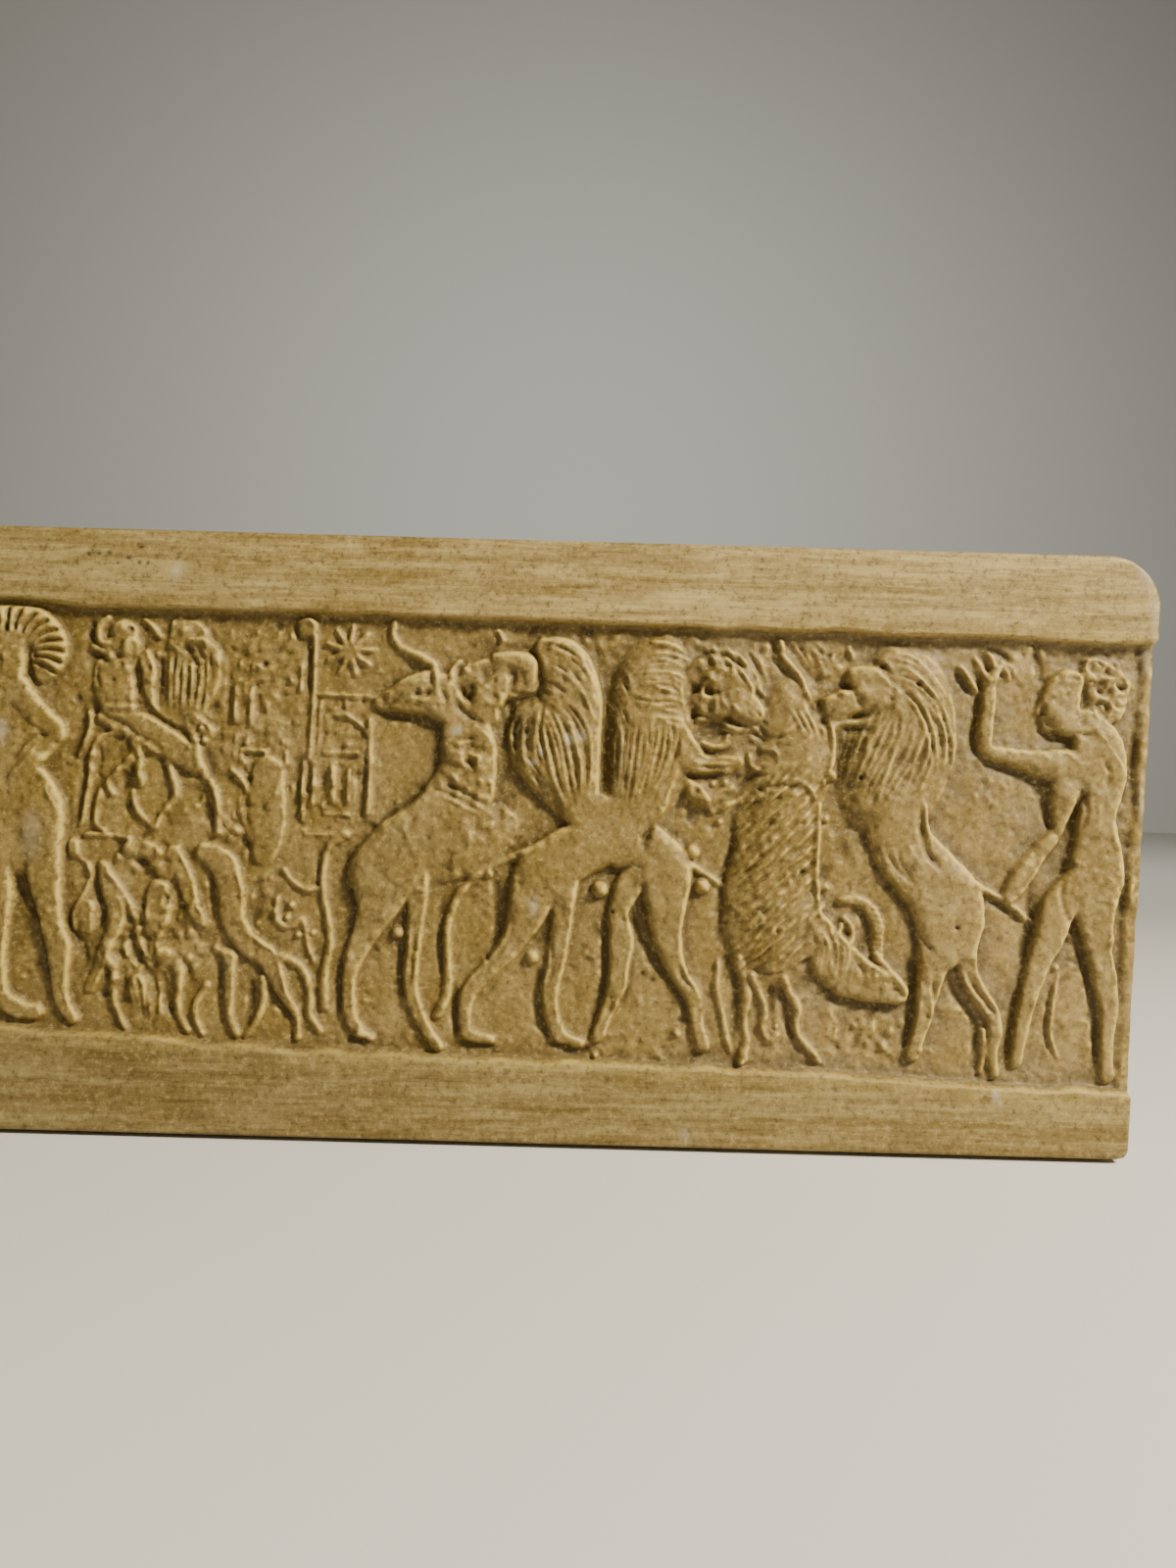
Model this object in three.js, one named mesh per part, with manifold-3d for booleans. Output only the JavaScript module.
// A cast stoneware wall plaque: a plain band above and below, and between them a frieze in low relief
// of two standing heroes, a bull, three lions and a shaggy ram, with two small scenes and a panel of signs.
// Millimetres, +Z up. The flat back lies on y = 0, centred on the origin, and the face looks along -Y.

import * as THREE from "three";
import { mergeVertices } from "three/addons/utils/BufferGeometryUtils.js";
import Module from "manifold-3d";

const HEIGHT = 125;
const THICKNESS = 15;
const FIELD_RECESS = 2.6;
const FIELD_Y = -(THICKNESS - FIELD_RECESS);

// The ends were trimmed by hand, so the end line leans: half length at the top and at the bottom.
const HALF_LENGTH_TOP = 129.6;
const HALF_LENGTH_BOTTOM = 126.4;
const LEFT_END_LEAN = 0.3;
const TOP_CORNER_RADIUS = 9.5;
const BOTTOM_CORNER_RADIUS = 2.5;
const CORNER_STEPS = 5;
const CORNER_PULL = 0.15;

// The sides lean outward towards the back, and the front arris is worn round.
const SIDE_DRAFT = 0.7;
const END_DRAFT_TOP = 0.7;
const END_DRAFT_BOTTOM = 1.0;
const ARRIS = 1.1;
const ARRIS_SHOULDER = 0.33;

// Where the face of each band ends: [x, z] from the left end to the right.
const TOP_BAND_EDGE = [
  [-135, 47.6], [-104, 47.2], [-90, 46], [-20, 46], [30, 45.2], [90, 44.8], [135, 44],
];
const BOTTOM_BAND_EDGE = [
  [-135, -41], [-106, -41.4], [-44, -44.5], [18, -45.7], [60, -46.2], [96, -48], [135, -48.6],
];
const BAND_STEP_WIDTH = 0.9;

// The tool that cuts the recess reaches this far in front of the face.
const RECESS_TOOL_ABOVE = 1;

// A limb is buried this deep in the field, so that it joins the slab all along. One that is wider than
// WIDE_LIMB at its widest has a section with more corners.
const BURIED = 1.1;
const WIDE_LIMB = 2.5;

// The distance between a limb's sections, and how much it grows for each millimetre of half width.
const SPACING = 6.5;
const SPACING_PER_WIDTH = 0.5;

// A limb's end section lies this share of the half width beyond the last station and shrinks to this share.
const END_REACH = 0.5;
const END_SHRINK = 0.5;

// Figures. Each limb is a rounded ridge along a smooth line, given by stations of
// [x, z, half width, height above the field].
const LEFT_HERO = {
  centreX: -107,
  head: [[-107, 43, 3.6, 2.2], [-107, 37.5, 4.9, 2.9], [-107, 32, 4.2, 2.8], [-107, 27.5, 2.6, 2.3]],
  torso: [[-107, 27, 6, 1.9], [-107, 21, 7.4, 2.2], [-107, 13, 7.2, 2.2], [-105.5, 5, 8, 2.3], [-104, -2, 8, 2.1]],
  rightArm: [[-104.8, 28.6, 3, 2.3], [-102.6, 25.8, 2.8, 2.5], [-99.2, 22.2, 2.6, 2.6], [-96.8, 19.8, 2.3, 2.6],
    [-98.6, 17.1, 2.1, 2.5], [-101.6, 13.6, 2, 2.4], [-104.8, 10, 1.9, 2.3]],
  rightLeg: [[-100.6, 10, 3, 2.3], [-99.2, 4, 4.8, 2.5], [-98.8, -3, 4.4, 2.6], [-98.2, -10, 3.7, 2.6],
    [-96.7, -18, 2.6, 2.6], [-95, -24, 2.8, 2.6], [-94.7, -30, 2.1, 2.5], [-94, -35.5, 1.7, 2.4],
    [-92, -38.8, 1.5, 1.8]],
  leftLeg: [[-106.5, 2, 4.6, 2.3], [-108.4, -6, 3.4, 2.4], [-107.8, -14, 3.4, 2.5], [-108, -22, 2.7, 2.5],
    [-107.8, -29, 2.5, 2.5], [-106.6, -34.6, 2.3, 2.3], [-103, -37.2, 2.1, 2], [-99.6, -37.8, 1.7, 1.6]],
  bead: [[-92.6, -3, 1.2, 1.5], [-92.4, -4.6, 1.3, 1.6]],
  hair: [[-104, 44, 2, 1.8], [-100.2, 42, 2.8, 2.1], [-98.2, 38.4, 3.2, 2.2], [-97.8, 34.6, 3, 2.2],
    [-98.6, 32, 1.8, 1.9]],
  // Locks on the hair at one side of the head; the other side mirrors them.
  curls: [
    [[-104.4, 42.6, 0.8, 2.3], [-102.2, 44.6, 0.8, 2.5], [-99.8, 44, 0.8, 2.3]],
    [[-101.8, 40.6, 0.8, 2.5], [-98.8, 41.8, 0.8, 2.7], [-95.8, 40.8, 0.8, 2.3]],
    [[-100.6, 37.4, 0.8, 2.5], [-97.8, 38.5, 0.8, 2.8], [-95, 37.9, 0.8, 2.3]],
    [[-100.2, 35.2, 0.8, 2.5], [-97.6, 35.4, 0.8, 2.8], [-94.8, 35.2, 0.8, 2.3]],
    [[-100, 32.4, 0.8, 2.3], [-97.6, 32.6, 0.8, 2.5], [-95, 32.4, 0.8, 2.2]],
  ],
};

const HORNED_DANCER = [
  [[-83.4, 40.4, 3, 1.5], [-83.4, 37, 3.5, 1.9], [-83.4, 34, 2.4, 1.8]],
  [[-84.2, 32, 3.2, 1.5], [-83.8, 28.4, 3.3, 1.6], [-83, 24.8, 3, 1.6]],
  [[-85, 23.6, 1.6, 1.5], [-80.5, 22.2, 2.5, 1.8], [-75.6, 19.6, 2.8, 1.9], [-71, 17.4, 2.2, 1.9]],
  [[-79, 36, 1.5, 1.7], [-78, 32.6, 1.7, 1.8], [-78, 29.6, 1.3, 1.8], [-77.2, 26.6, 0.9, 1.8]],
  [[-86.8, 43.6, 0.7, 1.2], [-88.4, 41.8, 0.9, 1.4], [-88.6, 39.8, 0.9, 1.5], [-87, 38.2, 0.8, 1.5]],
  [[-79.4, 43.4, 0.6, 1.1], [-77.6, 42, 0.7, 1.3], [-76.2, 40.2, 0.7, 1.3]],
  [[-89.8, 37.6, 0.6, 1.2], [-88, 36.8, 0.7, 1.3], [-86.2, 35.8, 0.6, 1.4]],
  [[-77.4, 26.6, 0.6, 1.8], [-75.2, 24, 0.6, 1.9], [-72, 22.3, 0.7, 1.9], [-69.4, 21.4, 0.9, 1.9],
    [-68.2, 18.6, 1.1, 2], [-67.4, 14.8, 1.1, 2], [-65.4, 11, 1, 1.9], [-63.8, 8.6, 0.9, 1.8],
    [-63.2, 4.6, 0.9, 1.7], [-63, 0, 0.8, 1.5]],
  [[-90.2, 24, 0.6, 1.2], [-90, 21, 0.7, 1.3], [-91.4, 17, 0.7, 1.2], [-92, 15, 0.5, 1]],
  [[-80, 20.2, 0.6, 1.3], [-84.4, 20, 0.6, 1.3], [-88, 18.8, 0.7, 1.3], [-89.6, 15, 0.7, 1.3], [-90.1, 9, 0.7, 1.3],
    [-90.8, 4, 0.7, 1.2], [-91.4, 1, 0.6, 1]],
  [[-80.4, 18.6, 1.4, 1.6], [-79.8, 14, 1.2, 1.6], [-79, 9.8, 1, 1.4]],
  [[-81, 15, 1, 1.5], [-83.8, 12, 0.9, 1.4], [-86, 9.8, 0.8, 1.3], [-84.8, 7.4, 0.7, 1.1]],
  [[-80.8, 8, 0.7, 1.3], [-80.2, 5, 0.8, 1.3], [-78.2, 2.4, 0.7, 1.2], [-76, 0.6, 0.6, 1]],
  [[-73.8, 14.4, 0.9, 1.5], [-72.6, 10.6, 0.9, 1.5], [-72, 8, 0.8, 1.4], [-73.6, 5.2, 0.8, 1.3],
    [-75.4, 2.4, 0.7, 1.2], [-76, 0.6, 0.6, 1]],
  [[-87.6, 8, 0.6, 1], [-88.4, 4.4, 0.7, 1.1], [-88.2, 1.4, 0.7, 1.1], [-86.2, -0.2, 0.6, 1]],
];

const MANED_DANCER = [
  [[-70, 39, 3.8, 1.4], [-70.4, 32, 4.8, 1.6], [-70.4, 27, 4.4, 1.5]],
  [[-69, 23.4, 1.8, 1.6], [-66, 20.8, 1.8, 1.6]],
  [[-73.4, 43, 0.6, 1.2], [-73.6, 40.4, 0.7, 1.4]],
  [[-70, 39.6, 0.8, 1.8], [-66.8, 39.2, 1, 2], [-64.6, 37.4, 1.2, 2.1], [-64.2, 34, 1.1, 2.1], [-64.6, 29.6, 1, 2],
    [-66.4, 26, 0.9, 1.8]],
];

const LOWER_GROUP = [
  [[-89.8, -16, 1.9, 1.1], [-89.6, -20, 1.6, 1]],
  [[-86.4, -7.6, 1.4, 1.3], [-84.8, -12.6, 2, 1.6], [-83.4, -17.4, 2, 1.7], [-84.6, -22.6, 1.6, 1.6],
    [-86.6, -28, 1.4, 1.4], [-88.6, -32.6, 1.2, 1.2]],
  [[-80.6, -3.6, 2, 1.4], [-76.8, -4.4, 2.2, 1.5], [-73.6, -8, 2, 1.6]],
  [[-75, -12.2, 2.4, 1.8], [-74.8, -16.2, 2.8, 1.9], [-75.4, -20.4, 2, 1.7]],
  [[-65.4, -4, 2.2, 1.5], [-61.8, -6.4, 3, 2], [-60, -12, 2.9, 2.3], [-59.4, -17.6, 2.8, 2.3],
    [-56, -22.6, 2.6, 2.2], [-52, -25.4, 2.4, 2.2], [-50, -29.4, 1.8, 2.1], [-48.6, -33, 1.3, 2],
    [-46.4, -36, 1.2, 1.9], [-45.7, -41.4, 1, 1.4]],
  [[-72, -4.6, 1.8, 1.5], [-69.6, -9.4, 1.9, 1.7], [-68, -14, 1.7, 1.8], [-66, -18.4, 1.3, 1.6]],
  [[-84.8, -9, 0.7, 2], [-82.6, -12.4, 0.8, 2.1], [-80.6, -15.6, 0.9, 2], [-79.4, -18.6, 0.8, 1.8],
    [-78.6, -22, 0.8, 1.6], [-77.8, -25.4, 0.7, 1.3]],
  [[-86.2, -25.6, 1.3, 1.5], [-83.6, -28.6, 1.1, 1.5], [-83.8, -33, 0.9, 1.5], [-82.8, -37, 0.8, 1.4],
    [-80.8, -41, 0.8, 1.1]],
  [[-78.6, -31, 1.8, 1.3], [-78, -35, 1.6, 1.2]],
  [[-73.4, -25.6, 2, 1.4], [-70.4, -28, 1.4, 1.6], [-70.4, -33, 1, 1.5], [-70, -37.6, 0.9, 1.4],
    [-68.2, -41, 0.8, 1.1]],
  [[-64.6, -31.4, 0.9, 1.3], [-66.6, -35.4, 0.9, 1.4], [-66.4, -38.6, 0.8, 1.4], [-65, -41.4, 0.7, 1.1]],
  [[-49.6, -25, 1, 2.1], [-46.4, -26.2, 1, 2.1], [-44, -29, 0.9, 2], [-43.2, -33, 0.9, 1.9], [-43, -37, 0.9, 1.7],
    [-41, -40.4, 0.8, 1.3]],
  [[-60, -25.6, 1.6, 1.8], [-59.8, -31, 1.3, 1.7], [-59.8, -37, 1, 1.6], [-58, -41.6, 0.9, 1.2]],
  [[-53, -29.8, 0.9, 1.5], [-52.8, -34.6, 0.9, 1.6], [-54.4, -39, 0.9, 1.5], [-56.4, -41.8, 0.7, 1.1]],
  [[-50.4, -13, 0.6, 1.2], [-50.7, -16, 0.7, 1.3], [-49.4, -18.6, 0.8, 1.4], [-47.2, -18.6, 0.8, 1.4],
    [-45.4, -17.2, 0.7, 1.4], [-44.4, -19.4, 0.7, 1.3], [-44, -22.4, 0.6, 1.2], [-42.6, -25.8, 0.6, 1]],
  [[-49.4, -7.2, 0.6, 1], [-47.2, -9.8, 0.6, 1.2], [-44.6, -11.2, 0.8, 1.4], [-42.4, -10.8, 0.8, 1.3]],
  [[-63, -23.8, 0.8, 1.4], [-60.6, -24.8, 0.8, 1.6]],
];

// A ball on a pole, a star and a panel of raised strokes that aren't letters.
const BALL = { x: -46, z: 42.7, halfWidth: 2.3, rise: 1.8, halfLength: 0.3 };
const POLE = [[-44.5, 41, 0.8, 1.5], [-44.5, 28, 0.8, 1.5], [-45, 16, 0.9, 1.5], [-46, 0.5, 0.9, 1.3]];
const STAR = {
  x: -36.8, z: 38.2, rays: 9, turn: 0.12, inner: 0.6, outer: 4.8, halfWidth: 0.65, tipHalfWidth: 0.5, rise: 1.2,
};
const PANEL_STROKES = [
  [[-43, 29, 0.6, 1.3], [-31, 28.8, 0.6, 1.3]],
  [[-42.7, 27.6, 0.6, 1.2], [-42.9, 19.4, 0.6, 1.2]],
  [[-37, 24.8, 0.7, 1.4], [-31.6, 20.6, 0.7, 1.4]],
  [[-41.6, 24.6, 0.7, 1.3], [-37, 24.8, 0.7, 1.4]],
  [[-41.8, 17.4, 0.7, 1.2], [-34, 17.4, 0.7, 1.2]],
  [[-39.4, 13, 1, 1.3], [-38.6, 6.6, 1, 1.3]],
  [[-35.4, 14, 0.8, 1.2], [-35.2, 7, 0.8, 1.2]],
  [[-43.4, 9.6, 0.8, 1.3], [-44, 3.2, 0.8, 1.3]],
  [[-41.8, 2.6, 0.8, 1.1], [-36.4, 2.8, 0.8, 1.1]],
  [[-31.4, 23.8, 0.9, 1.4], [-31.6, 14, 0.9, 1.6], [-32.2, 5, 1, 1.5]],
  [[-60.8, 29.4, 0.7, 1.2], [-60.6, 22.4, 0.7, 1.2]],
  [[-58.8, 29.4, 0.6, 1.2], [-58.6, 23.6, 0.6, 1.2]],
  [[-56.4, 30, 0.7, 1.2], [-56.8, 23, 0.7, 1.2]],
  [[-59, 17.4, 0.7, 1.2], [-49.6, 17, 0.7, 1.2]],
  [[-55, 14.4, 0.6, 1.1], [-49.8, 14.2, 0.6, 1.1]],
  [[-60.6, 13.2, 1.2, 1.4], [-57.8, 8.6, 1, 1.5]],
  [[-51.6, 12, 2.6, 1.7], [-51.2, 6, 3.6, 2], [-51, 0.5, 3, 1.7], [-51.4, -4, 1.8, 1.4]],
  [[-60.4, 4, 1, 1.5], [-57.4, 0, 1, 1.5], [-55.4, -5, 1, 1.4]],
];

const BULL = [
  [[-13.4, 25.6, 3, 2.2], [-11.6, 20.4, 4.6, 2.3], [-11, 15.4, 5.2, 2.4], [-12.6, 9.6, 5.6, 2.5],
    [-18.6, 3.6, 6.2, 2.6], [-25, -2.4, 7, 2.8], [-28.8, -7.4, 7.4, 2.8]],
  [[-22, -2, 4.6, 2.2], [-15.4, -0.4, 5.6, 2.3], [-9, 2.6, 5, 2.2]],
  [[-29, -8.4, 6.8, 2.8], [-29.4, -13.4, 4.6, 2.8], [-31.6, -18.6, 3, 2.7], [-34, -24, 2.2, 2.6],
    [-35.3, -29.4, 1.6, 2.5], [-35, -34.6, 1.5, 2.4], [-34, -38.4, 1.5, 2.2], [-32.2, -40.6, 1.2, 1.6]],
  [[-21.6, -8, 2.6, 2.3], [-21.6, -14, 2.1, 2.3], [-22, -20, 1.8, 2.3], [-22.6, -27, 1.7, 2.3],
    [-22.2, -32, 1.6, 2.2], [-20.6, -36.4, 1.5, 2.1], [-18.4, -40, 1.3, 1.8], [-16.6, -42.6, 1.3, 1.3]],
  [[-30, 27.8, 1.5, 1.8], [-27.2, 28.6, 2.7, 2.3], [-23.2, 29.4, 4, 2.7], [-19.2, 29.4, 4.6, 2.8],
    [-16.8, 27.6, 3.6, 2.6]],
  [[-27.8, 44.4, 0.7, 1.5], [-28.2, 42, 0.9, 1.7], [-27, 39.8, 0.9, 1.8], [-24.6, 38.2, 1, 1.9],
    [-21.6, 37, 1.1, 2.4], [-19.6, 35.4, 1.2, 2.9], [-18.8, 32.6, 1, 3], [-18.2, 29.4, 0.8, 3]],
  [[-14.4, 36.6, 0.6, 1.5], [-15.6, 34.6, 0.7, 2], [-16.1, 31.6, 0.7, 2.8], [-15.6, 28.8, 0.6, 2.8]],
  [[-36.8, 0.4, 1.2, 1.6], [-39.8, -1.8, 0.9, 1.7], [-41, -5.6, 0.8, 1.7], [-41, -12, 0.8, 1.7],
    [-40, -17, 0.9, 1.7], [-39.4, -22, 0.9, 1.7], [-40.3, -28, 1, 1.7], [-40.2, -35, 1.1, 1.4]],
  [[-33, -40.4, 1, 1.8], [-30.4, -41.2, 0.9, 1.3]],
];

const LION_A = [
  [[3.4, 39.6, 2.4, 2.2], [6.6, 36.6, 4.8, 2.7], [8.6, 30, 6.4, 2.9], [8.9, 22.4, 6.3, 3], [8.6, 14.6, 5.9, 2.9],
    [8.8, 8.6, 4.4, 2.6], [9.6, 5.6, 2.2, 1.9]],
  [[-3.4, 16.6, 1.5, 1.8], [0.2, 17, 3.6, 2.2], [4.6, 17.2, 4.6, 2.5]],
  [[11, 8, 4.6, 2.3], [18, 3, 5.6, 2.3], [25, -2, 6.4, 2.5], [29, -5, 5.6, 2.8], [29.4, -10, 4.8, 2.9],
    [29.6, -16, 3.6, 2.9], [30.8, -22, 2.6, 2.8], [32.8, -27, 2, 2.7], [35.4, -31, 1.9, 2.6], [36.4, -36, 1.5, 2.4],
    [37.8, -41, 1.6, 1.8]],
  [[22, -8, 3, 2], [19.8, -14, 2.2, 2.3], [20.4, -19.6, 2.7, 2.5], [20.2, -25, 2.2, 2.5], [19.7, -30, 2.1, 2.5],
    [17.9, -34.6, 1.5, 2.3], [16.2, -39.6, 1.5, 1.9]],
  [[-12.4, 33, 2.6, 1.8], [-7, 33.2, 4.6, 2], [-1, 33.6, 3.8, 2]],
  [[-10.4, 28.6, 3.4, 2.4], [-7.6, 27.8, 2.8, 2.6], [-7.2, 25.4, 1.8, 2.2]],
  [[-6.8, 37.4, 1.3, 2.4], [-3, 37, 2.2, 2.8], [-0.2, 36.2, 2.3, 2.9], [0.4, 33.2, 1.7, 2.8]],
  [[28, 0.4, 1.9, 2.3], [31, -2.2, 1.2, 2.3], [35, -4.4, 0.9, 2], [39.4, -7, 0.8, 1.8], [43.4, -9.6, 0.8, 2.6],
    [46.6, -12.6, 1, 2.9], [48.6, -16.4, 1, 2.9], [49.6, -20.4, 0.8, 2.8], [50, -25, 0.7, 2.6]],
];

const LION_B = [
  [[28.6, 40, 2.8, 2.1], [26.6, 35, 6, 2.8], [25, 27.4, 7.4, 3], [24.8, 20, 7.6, 3], [24, 13, 6.6, 2.9],
    [21.6, 6.6, 5.4, 2.6], [17.4, 2, 5.8, 2.6], [10.4, -2, 5.8, 2.7], [4, -6, 5.8, 2.8]],
  [[30, 24, 3, 2.8], [32.4, 20.6, 2.6, 2.8], [34.6, 18.6, 2, 2.7]],
  [[35, 31, 3, 2], [39, 32, 4, 2.3], [43, 30.6, 3.8, 2.6], [46.4, 28.6, 2.3, 2.5]],
  [[3, -7, 5.4, 2.7], [1.4, -13, 4.4, 2.8], [-0.6, -18.4, 3, 2.7], [-4, -23.8, 2.2, 2.6], [-7.6, -27.6, 1.9, 2.6],
    [-10.6, -31.6, 1.8, 2.6], [-11.3, -36, 1.5, 2.4], [-10.8, -39.6, 1.5, 2.1], [-6, -41, 1.1, 1.4]],
  [[8, -6, 4, 2.4], [8.4, -12, 2.6, 2.5], [8, -18, 2.2, 2.5], [7.2, -25, 1.9, 2.5], [6.2, -30.6, 1.8, 2.5],
    [6.8, -36, 1.7, 2.3], [8.6, -39.8, 1.6, 2], [12.4, -41.4, 1.2, 1.4]],
  [[34.6, 40.6, 1, 2], [38.6, 40.4, 1.2, 2.1], [42.6, 39.6, 1.2, 2.2], [45.4, 37, 1.1, 2.2], [47.8, 33.2, 1, 2.2]],
  [[35.6, 30.4, 0.6, 2.4], [36, 33.4, 0.7, 2.6], [37.6, 34.4, 0.7, 2.6], [38.4, 32, 0.6, 2.5]],
  [[38.6, 30.8, 0.7, 2.9], [38.4, 27.4, 0.7, 2.8]],
  [[35, 26, 0.6, 2], [39.4, 26.1, 0.7, 2.2], [42.6, 24.2, 0.8, 2.2], [47.2, 24.6, 0.7, 1.8]],
  [[36, 21.4, 0.7, 1.6], [38.4, 20.3, 0.8, 1.8], [40.8, 21, 0.8, 1.8], [41.3, 22.8, 0.6, 1.7]],
  [[33, 17.4, 2.6, 2.4], [37, 16.8, 2.1, 2.3], [41.4, 17, 1.8, 2.1], [43.4, 17.4, 1.4, 1.8]],
  [[26, 8, 2.4, 2.4], [30.6, 10.4, 2, 2.1], [33.6, 9.4, 1.4, 1.8], [36, 8, 1.2, 1.6]],
  [[38.4, 7.2, 0.7, 1.5], [42, 8.8, 0.8, 1.8], [46.6, 10.4, 0.8, 2]],
  [[6, -0.6, 1.6, 2.3], [0, -2.4, 1, 2.3], [-5, -4.4, 0.9, 2.1], [-9.8, -7.4, 0.9, 2], [-13.2, -11.4, 1, 2],
    [-14.9, -16, 1, 2], [-15.4, -21, 1, 2], [-14.9, -27, 1.1, 2], [-15, -31.6, 1.1, 1.9], [-16.8, -36, 1.1, 1.5]],
];

const RAM = [
  [[54, 29, 5, 1.9], [55.6, 24, 6.6, 2.3], [56, 18, 7, 2.6], [53.4, 10.4, 7.2, 2.7], [51.8, 3, 8.2, 2.8],
    [51.2, -5, 8.8, 2.8], [51.4, -13, 9.2, 2.8], [52, -20, 8.2, 2.6], [52.4, -23, 5.6, 2.3]],
  [[60, -16, 3.6, 2.2], [63.4, -21, 4.6, 2.2], [67, -25, 5.4, 2.4], [71.4, -26.6, 4.6, 2.6], [75.4, -28, 3.1, 2.5],
    [78, -29.2, 1.9, 2.2]],
  [[64, -35, 3, 0.9], [70, -38, 4.4, 1], [75, -39, 3.4, 0.9]],
  [[51.8, 42.4, 0.7, 1.5], [52.2, 39.6, 0.8, 1.7], [54.2, 37.2, 0.8, 1.8], [56.2, 34.6, 0.7, 1.9],
    [57.4, 31.6, 0.7, 2.1], [59.4, 28.4, 0.7, 2.3], [61.4, 25.6, 0.6, 2.3]],
  [[50.2, 13.2, 0.6, 3], [54.4, 14.4, 0.7, 3], [57.8, 12.8, 0.7, 3], [59.4, 10.6, 0.6, 2.8]],
  [[40.8, -23, 0.8, 1.5], [40.9, -29, 0.9, 1.7], [41.4, -35, 0.9, 1.7], [43, -41, 0.9, 1.4]],
  [[45.4, -23, 1.5, 2], [46.2, -29, 1.2, 2.1], [46.4, -36, 1.1, 2], [46.4, -43, 1.1, 1.5]],
  [[47.6, -26, 1.2, 2], [48.9, -31.6, 1, 1.9], [49.2, -37, 0.9, 1.6]],
  [[54, -25, 1.2, 2], [56, -31, 1.2, 2.2], [57, -36.6, 1.1, 2], [58.6, -40, 1, 1.7], [60.8, -43, 0.9, 1.2]],
  [[65.4, -10.4, 0.9, 1.7], [68.6, -10.3, 1.2, 2], [71.2, -11.8, 1.5, 2.3], [73, -15, 1.5, 2.4],
    [73.2, -19, 1.4, 2.5], [73.6, -22, 1.2, 2.7]],
  [[73, -21.4, 1, 2.8], [75.4, -24.2, 0.9, 2.8], [77.8, -27, 1, 2.8], [79, -29, 1, 2.6]],
];

const LION_C = [
  [[74.6, 38.4, 3.4, 2.1], [78.4, 34, 6, 2.7], [79.4, 27, 7.8, 2.9], [78.8, 19.6, 8.6, 3], [77, 13, 8.2, 2.9],
    [76.2, 7, 6.8, 2.7], [78.6, 1, 6, 2.6], [83.4, -5, 6.8, 2.7], [87.4, -11, 7.6, 2.9], [87, -17, 6, 2.8],
    [84.6, -23.6, 3.2, 2.6], [83.8, -29, 2.4, 2.5], [82.8, -35, 1.8, 2.3], [81, -41.6, 1.6, 1.6]],
  [[92.2, -14, 3, 2.4], [91.4, -20, 2.4, 2.4], [92.2, -24.6, 2, 2.4], [94.4, -29, 2, 2.4], [97, -33, 1.8, 2.3],
    [97.6, -37, 1.7, 2], [97.4, -44.6, 1.9, 1.5]],
  [[59.6, 38.4, 1.4, 1.2], [62.6, 36, 2.2, 1.4], [66.4, 33.6, 3, 1.7]],
  [[60, 28.6, 2, 1.8], [63, 29.6, 2.6, 2.3], [65.4, 29, 2.2, 2.3]],
  [[62, 26.4, 1.4, 1.9], [66, 26.6, 1.6, 1.8], [69, 26.4, 1.6, 1.9]],
  [[65, 36.4, 0.9, 2], [68.4, 36.2, 1.6, 2.6], [71.4, 35, 2.2, 2.8], [72.2, 32.2, 1.8, 2.7],
    [71.4, 29.8, 1.1, 2.4]],
  [[81.8, 9.6, 0.9, 2.6], [82.2, 5.4, 1, 2.6], [83.8, 1, 1, 2.5], [88, -3.2, 1, 2.3], [93.4, -6.6, 0.9, 2.1],
    [99.4, -10, 0.9, 2.2], [104.4, -13.6, 0.8, 1.8]],
  [[71, 4.6, 1, 1.9], [72.4, 0, 1.1, 2], [75, -4.4, 1.1, 2], [79.4, -9.8, 1, 2]],
  [[95, -36, 1, 1.8], [95.2, -41, 0.9, 1.5], [95, -45, 0.9, 1.2]],
];

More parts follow.
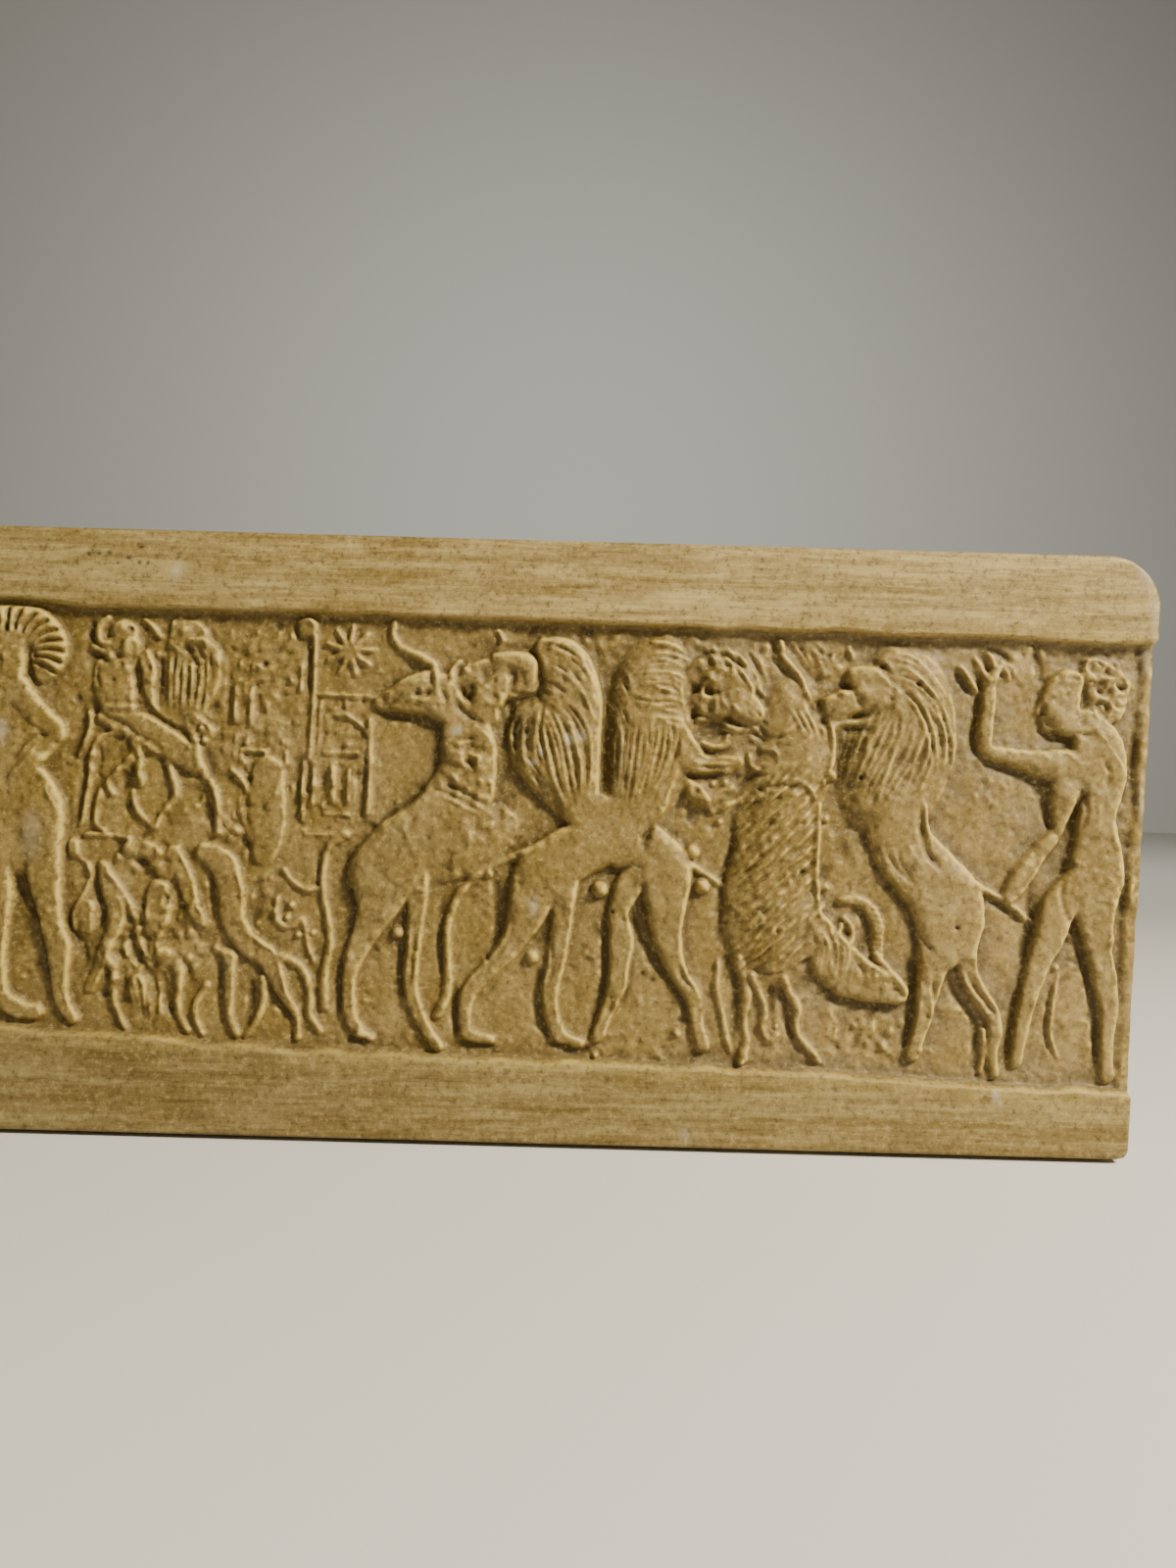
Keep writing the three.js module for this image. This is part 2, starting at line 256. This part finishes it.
const RIGHT_HERO = [
  [[112, 39.6, 3.6, 1.8], [111, 36, 4.9, 2.3], [110.6, 31.6, 4.6, 2.4], [111.6, 27, 3, 2.2]],
  [[117, 37.4, 3, 1.7], [119.4, 34.4, 4.2, 2], [119.4, 30.4, 3.4, 1.9]],
  [[114.4, 28, 2.4, 2.3], [117.2, 22.4, 5.4, 2.6], [118.4, 16, 5, 2.7], [117.4, 9, 4, 2.6], [117.6, 3, 4.8, 2.6],
    [117.6, -3.4, 6, 2.7], [117.4, -9, 4.8, 2.7], [118, -15, 3.4, 2.7], [118.8, -20, 2.8, 2.7],
    [120.3, -26, 2.6, 2.7], [121.3, -31.4, 2, 2.6], [120.8, -38, 1.7, 2.4], [121.2, -45, 1.6, 1.6]],
  [[113.6, -5, 3, 2.3], [110, -11, 3.8, 2.6], [108.4, -16.6, 3.2, 2.6], [106.4, -22, 2.4, 2.6],
    [105, -27, 2.1, 2.6], [103.8, -33, 1.7, 2.5], [102.9, -38, 1.5, 2.3], [102.2, -42.6, 1.4, 1.6]],
  [[116.4, 19, 3.8, 2.6], [110.6, 18.4, 3.6, 2.6], [104.6, 19, 2.6, 2.5], [98.4, 20.4, 1.8, 2.4],
    [94.6, 21.4, 1.6, 2.4], [94, 25, 1.8, 2.4], [94.5, 30, 1.7, 2.4], [94.8, 35.4, 1.6, 2.3]],
  [[94.4, 35.4, 1, 2.3], [93, 38.4, 0.7, 1.8], [92, 40, 0.6, 1.5]],
  [[95.4, 36, 1, 2.3], [95.6, 39, 0.7, 2], [94.6, 41.4, 0.6, 1.6]],
  [[95.8, 36.4, 0.7, 2.1], [97, 38.4, 0.7, 1.9], [98.4, 37.4, 0.6, 1.6], [98.8, 36, 0.5, 1.4]],
  [[88.8, 38.4, 0.6, 1.4], [90.6, 36, 0.7, 1.7], [92.2, 33.4, 0.7, 1.9]],
  [[111.4, 14, 2.8, 2.3], [110.8, 8.6, 2.4, 2.2], [109.4, 4, 2.2, 2.1], [106, 0, 2.4, 2], [102.4, -4.4, 2.4, 1.9],
    [100.2, -8.6, 1.8, 1.8]],
  [[107, 36.4, 1.2, 2.5], [105.6, 33.8, 0.9, 2.4]],
];

// Locks of the three manes and tufts of the fleece, carved as ridges on the bodies.
const MANE_LOCKS = [
  [[3.4, 40.8, 0.8, 2.9], [9, 38, 0.9, 3.3], [13, 33.4, 0.9, 2.9], [14.4, 27, 0.8, 2.4]],
  [[4.4, 34, 0.8, 3.4], [9.8, 30.6, 0.9, 3.6], [12.8, 24, 0.9, 3.3], [13.6, 17, 0.8, 2.9]],
  [[5, 27, 0.8, 3.5], [8.8, 21.6, 0.9, 3.6], [9.8, 13, 0.8, 3.4]],
  [[2.2, 23, 0.8, 2.6], [4.8, 17.6, 0.9, 3.3], [5.8, 10.8, 0.8, 3]],
  [[22.4, 38.2, 0.8, 2.4], [27, 39.6, 0.9, 3.1], [31.6, 38.8, 0.8, 2.6]],
  [[20.8, 33.6, 0.8, 2.8], [26.4, 35.4, 0.9, 3.6], [31.4, 33.4, 0.8, 2.9]],
  [[23, 28.6, 0.8, 3.5], [28, 30.6, 0.9, 3.6], [32, 27, 0.8, 2.6]],
  [[23.6, 22.4, 0.8, 3.6], [28.4, 25, 0.9, 3.5], [32.4, 21, 0.8, 2.5]],
  [[21.6, 17.6, 0.8, 3.4], [23.6, 12.6, 0.9, 3.5], [23.8, 7, 0.8, 3]],
  [[27.6, 18.4, 0.8, 3.4], [28.6, 13, 0.9, 3.1], [27.2, 8.4, 0.8, 2.6]],
  [[76, 39.6, 0.8, 2.7], [81, 36, 0.9, 3.3], [84.8, 30, 0.9, 3], [86.2, 23, 0.8, 2.6]],
  [[75, 33.4, 0.8, 3.3], [80.4, 30.6, 0.9, 3.6], [84, 24.6, 0.9, 3.4], [84.6, 18, 0.8, 3]],
  [[73.6, 27.6, 0.8, 3.1], [78, 25.4, 0.9, 3.6], [80.4, 20, 0.8, 3.5]],
  [[73, 21.6, 0.8, 3.1], [72.4, 16.6, 0.9, 3.2], [70.6, 11, 0.8, 2.6]],
  [[77.4, 19.6, 0.8, 3.5], [76.6, 14.6, 0.9, 3.5], [74.4, 8.6, 0.8, 3.2]],
];
const FLEECE_TUFTS = [
  [[49, 23.4, 0.9, 2.5], [53.6, 27.4, 0.9, 2.9]],
  [[52.4, 17.6, 0.9, 3.2], [59, 22.4, 0.9, 2.6]],
  [[45.4, 3, 0.9, 2.6], [51.6, 8, 0.9, 3.2]],
  [[51.4, 3, 0.9, 3.3], [58.4, 8.4, 0.9, 2.4]],
  [[43.6, -3, 0.9, 2.3], [50, 2.2, 0.9, 3.3]],
  [[51, -3, 0.9, 3.3], [58.4, 3, 0.9, 2.5]],
  [[43.6, -9, 0.9, 2.4], [50, -3.8, 0.9, 3.3]],
  [[51.4, -9.6, 0.9, 3.3], [58.4, -3.6, 0.9, 2.4]],
  [[43.6, -15.4, 0.9, 2.5], [50, -10, 0.9, 3.3]],
  [[52, -15.6, 0.9, 3.3], [58.4, -10.4, 0.9, 2.5]],
  [[46, -21, 0.9, 2.4], [52.4, -16.4, 0.9, 3.2]],
];

// Stray balls that air pockets in the mould left on the casting: [x, z, radius].
const CASTING_BALLS = [
  [-25.6, -19.6, 1.4], [2.3, -23.8, 1.6], [15.8, -9.4, 1.8], [34.6, -1.3, 1.7], [36.8, -8.3, 1.7],
  [62.8, 15.2, 1.3],
];
const BALL_STEPS = 4;
const BALL_LIFT = 0.5;

const NAME = "relief_plaque";
const STONEWARE = new THREE.MeshStandardMaterial({ color: 0xa98f5c, roughness: 0.72, metalness: 0 });

const wasm = await Module();
wasm.setup();

// A closed mesh as a manifold solid: only positions are kept, and shared corners are merged.
function solidOf(geometry) {
  const bare = new THREE.BufferGeometry();
  bare.setAttribute("position", geometry.getAttribute("position"));
  bare.setIndex(geometry.getIndex());
  const merged = mergeVertices(bare);
  return new wasm.Manifold(new wasm.Mesh({
    numProp: 3,
    vertProperties: new Float32Array(merged.getAttribute("position").array),
    triVerts: new Uint32Array(merged.getIndex().array),
  }));
}

// Six times the volume that an indexed triangle list encloses: negative when it is inside out.
function signedVolume(points, faces) {
  let sum = 0;
  for (const [a, b, c] of faces) {
    sum += points[a].dot(new THREE.Vector3().crossVectors(points[b], points[c]));
  }
  return sum;
}

// A closed solid through a row of rings with the same number of points, capped flat at both ends.
function loft(rings, capFaces) {
  const count = rings[0].length;
  const points = rings.flat();
  const faces = [];
  for (let r = 0; r + 1 < rings.length; r++) {
    for (let k = 0; k < count; k++) {
      const here = r * count + k;
      const next = r * count + (k + 1) % count;
      faces.push([here, next, next + count], [here, next + count, here + count]);
    }
  }
  const last = (rings.length - 1) * count;
  for (const [a, b, c] of capFaces) {
    faces.push([a, c, b], [last + a, last + b, last + c]);
  }
  if (signedVolume(points, faces) < 0) {
    faces.forEach((face) => face.reverse());
  }
  const geometry = new THREE.BufferGeometry().setFromPoints(points);
  geometry.setIndex(faces.flat());
  return solidOf(geometry);
}

function fanFaces(count) {
  return Array.from({ length: count - 2 }, (_, k) => [0, k + 1, k + 2]);
}

// The triangles that fill an outline, each turning the same way as the outline does.
function fillFaces(outline) {
  const turn = Math.sign(THREE.ShapeUtils.area(outline));
  return THREE.ShapeUtils.triangulateShape(outline, []).map(([a, b, c]) => {
    const same = Math.sign(THREE.ShapeUtils.area([outline[a], outline[b], outline[c]])) === turn;
    return same ? [a, b, c] : [a, c, b];
  });
}

// The plaque's outline in X and Z. lean goes from 0 on the back to 1 on the face, and inset trims all round.
function outlineShape(lean, inset) {
  const top = HEIGHT / 2 - lean * SIDE_DRAFT - inset;
  const topX = HALF_LENGTH_TOP - lean * END_DRAFT_TOP - inset;
  const rightX = HALF_LENGTH_BOTTOM - lean * END_DRAFT_BOTTOM - inset;
  const leftX = topX - LEFT_END_LEAN * (topX - rightX);
  const topCut = TOP_CORNER_RADIUS - inset;
  const pull = topCut * CORNER_PULL;
  const shape = new THREE.Shape();
  shape.moveTo(-topX + topCut, top);
  shape.lineTo(topX - topCut, top);
  shape.quadraticCurveTo(topX - pull, top - pull, topX, top - topCut);
  shape.lineTo(rightX, -top + BOTTOM_CORNER_RADIUS);
  shape.quadraticCurveTo(rightX, -top, rightX - BOTTOM_CORNER_RADIUS, -top);
  shape.lineTo(-leftX + BOTTOM_CORNER_RADIUS, -top);
  shape.quadraticCurveTo(-leftX, -top, -leftX, -top + BOTTOM_CORNER_RADIUS);
  shape.lineTo(-topX, top - topCut);
  shape.quadraticCurveTo(-topX + pull, top - pull, -topX + topCut, top);
  return shape.getPoints(CORNER_STEPS).slice(0, -1);
}

function slab() {
  const levels = [
    { y: 0, lean: 0, inset: 0 },
    { y: -(THICKNESS - ARRIS), lean: 1, inset: 0 },
    { y: -(THICKNESS - ARRIS_SHOULDER), lean: 1, inset: ARRIS_SHOULDER },
    { y: -THICKNESS, lean: 1, inset: ARRIS },
  ];
  const outlines = levels.map((level) => outlineShape(level.lean, level.inset));
  const rings = outlines.map((outline, n) => outline.map((p) => new THREE.Vector3(p.x, levels[n].y, p.y)));
  return loft(rings, fillFaces(outlines[0]));
}

// The recess between the bands, open at both ends of the plaque. Its walls slope in towards the field.
function fieldRecess() {
  const ringAt = (y, step) => [
    ...TOP_BAND_EDGE.map(([x, z]) => new THREE.Vector3(x, y, z - step)),
    ...BOTTOM_BAND_EDGE.map(([x, z]) => new THREE.Vector3(x, y, z + step)).reverse(),
  ];
  const slope = BAND_STEP_WIDTH / FIELD_RECESS;
  const face = ringAt(-THICKNESS - RECESS_TOOL_ABOVE, -RECESS_TOOL_ABOVE * slope);
  const floor = ringAt(FIELD_Y, BAND_STEP_WIDTH);
  const flat = face.map((p) => new THREE.Vector2(p.x, p.z));
  return loft([face, floor], fillFaces(flat));
}

// A limb's cross-section as fractions of its half width and height, from one buried foot to the other.
const WIDE_PROFILE = [[1, -1], [0.86, 0.5], [0.4, 0.92], [-0.4, 0.92], [-0.86, 0.5], [-1, -1]];
const NARROW_PROFILE = [[1, -1], [0.52, 0.85], [-0.52, 0.85], [-1, -1]];

function limb(stations) {
  const path = new THREE.CatmullRomCurve3(stations.map(([x, z]) => new THREE.Vector3(x, 0, z)));
  const size = new THREE.CatmullRomCurve3(stations.map(([, , w, h]) => new THREE.Vector3(w, h, 0)));
  const widest = Math.max(...stations.map((station) => station[2]));
  const steps = Math.max(1, Math.round(path.getLength() / (SPACING + widest * SPACING_PER_WIDTH)));
  const profile = widest > WIDE_LIMB ? WIDE_PROFILE : NARROW_PROFILE;
  const ringAt = (t, beyond, shrink) => {
    const along = path.getTangent(t);
    const { x: width, y: height } = size.getPoint(t);
    const centre = path.getPoint(t).addScaledVector(along, beyond * width);
    return profile.map(([s, r]) => {
      const rise = r < 0 ? -BURIED : r * height * shrink;
      const side = s * width * shrink;
      return new THREE.Vector3(centre.x - along.z * side, FIELD_Y - rise, centre.z + along.x * side);
    });
  };
  const inner = Array.from({ length: steps }, (_, n) => ringAt((n + 0.5) / steps, 0, 1));
  return loft([ringAt(0, -END_REACH, END_SHRINK), ...inner, ringAt(1, END_REACH, END_SHRINK)],
    fanFaces(profile.length));
}

function ball([x, z, radius]) {
  const geometry = new THREE.SphereGeometry(radius, BALL_STEPS + 2, BALL_STEPS);
  geometry.deleteAttribute("normal");
  geometry.deleteAttribute("uv");
  geometry.translate(x, FIELD_Y - radius * BALL_LIFT, z);
  return solidOf(geometry);
}

function star() {
  return Array.from({ length: STAR.rays }, (_, n) => {
    const angle = (n + STAR.turn) * 2 * Math.PI / STAR.rays;
    const station = (reach, width) => [
      STAR.x + reach * Math.cos(angle), STAR.z + reach * Math.sin(angle), width, STAR.rise,
    ];
    return [station(STAR.inner, STAR.halfWidth), station(STAR.outer, STAR.tipHalfWidth)];
  });
}

function leftHero() {
  const mirrored = (stations) => stations.map(([x, ...rest]) => [2 * LEFT_HERO.centreX - x, ...rest]);
  const { head, torso, rightArm, rightLeg, leftLeg, bead, hair, curls } = LEFT_HERO;
  const side = [rightArm, hair, ...curls];
  return [head, torso, rightLeg, leftLeg, bead, ...side, ...side.map(mirrored)];
}

function reliefLimbs() {
  return [
    ...leftHero(), ...HORNED_DANCER, ...MANED_DANCER, ...LOWER_GROUP, POLE, ...star(), ...PANEL_STROKES,
    ...BULL, ...LION_A, ...LION_B, ...RAM, ...LION_C, ...RIGHT_HERO,
    ...MANE_LOCKS, ...FLEECE_TUFTS,
  ];
}

function plaqueGeometry() {
  let plaque = slab().subtract(fieldRecess());
  const ballEnd = (side) => [BALL.x + side * BALL.halfLength, BALL.z, BALL.halfWidth, BALL.rise];
  const raised = [
    ...reliefLimbs().map(limb),
    limb([ballEnd(-1), ballEnd(1)]),
    ...CASTING_BALLS.map(ball),
  ];
  for (const solid of raised) {
    plaque = plaque.add(solid);
  }
  const { vertProperties, triVerts } = plaque.getMesh();
  const geometry = new THREE.BufferGeometry();
  geometry.setAttribute("position", new THREE.BufferAttribute(new Float32Array(vertProperties), 3));
  geometry.setIndex(Array.from(triVerts));
  geometry.computeVertexNormals();
  return geometry;
}

const plaque = new THREE.Mesh(plaqueGeometry(), STONEWARE);
plaque.name = NAME;

const model = new THREE.Group();
model.add(plaque);
export default model;
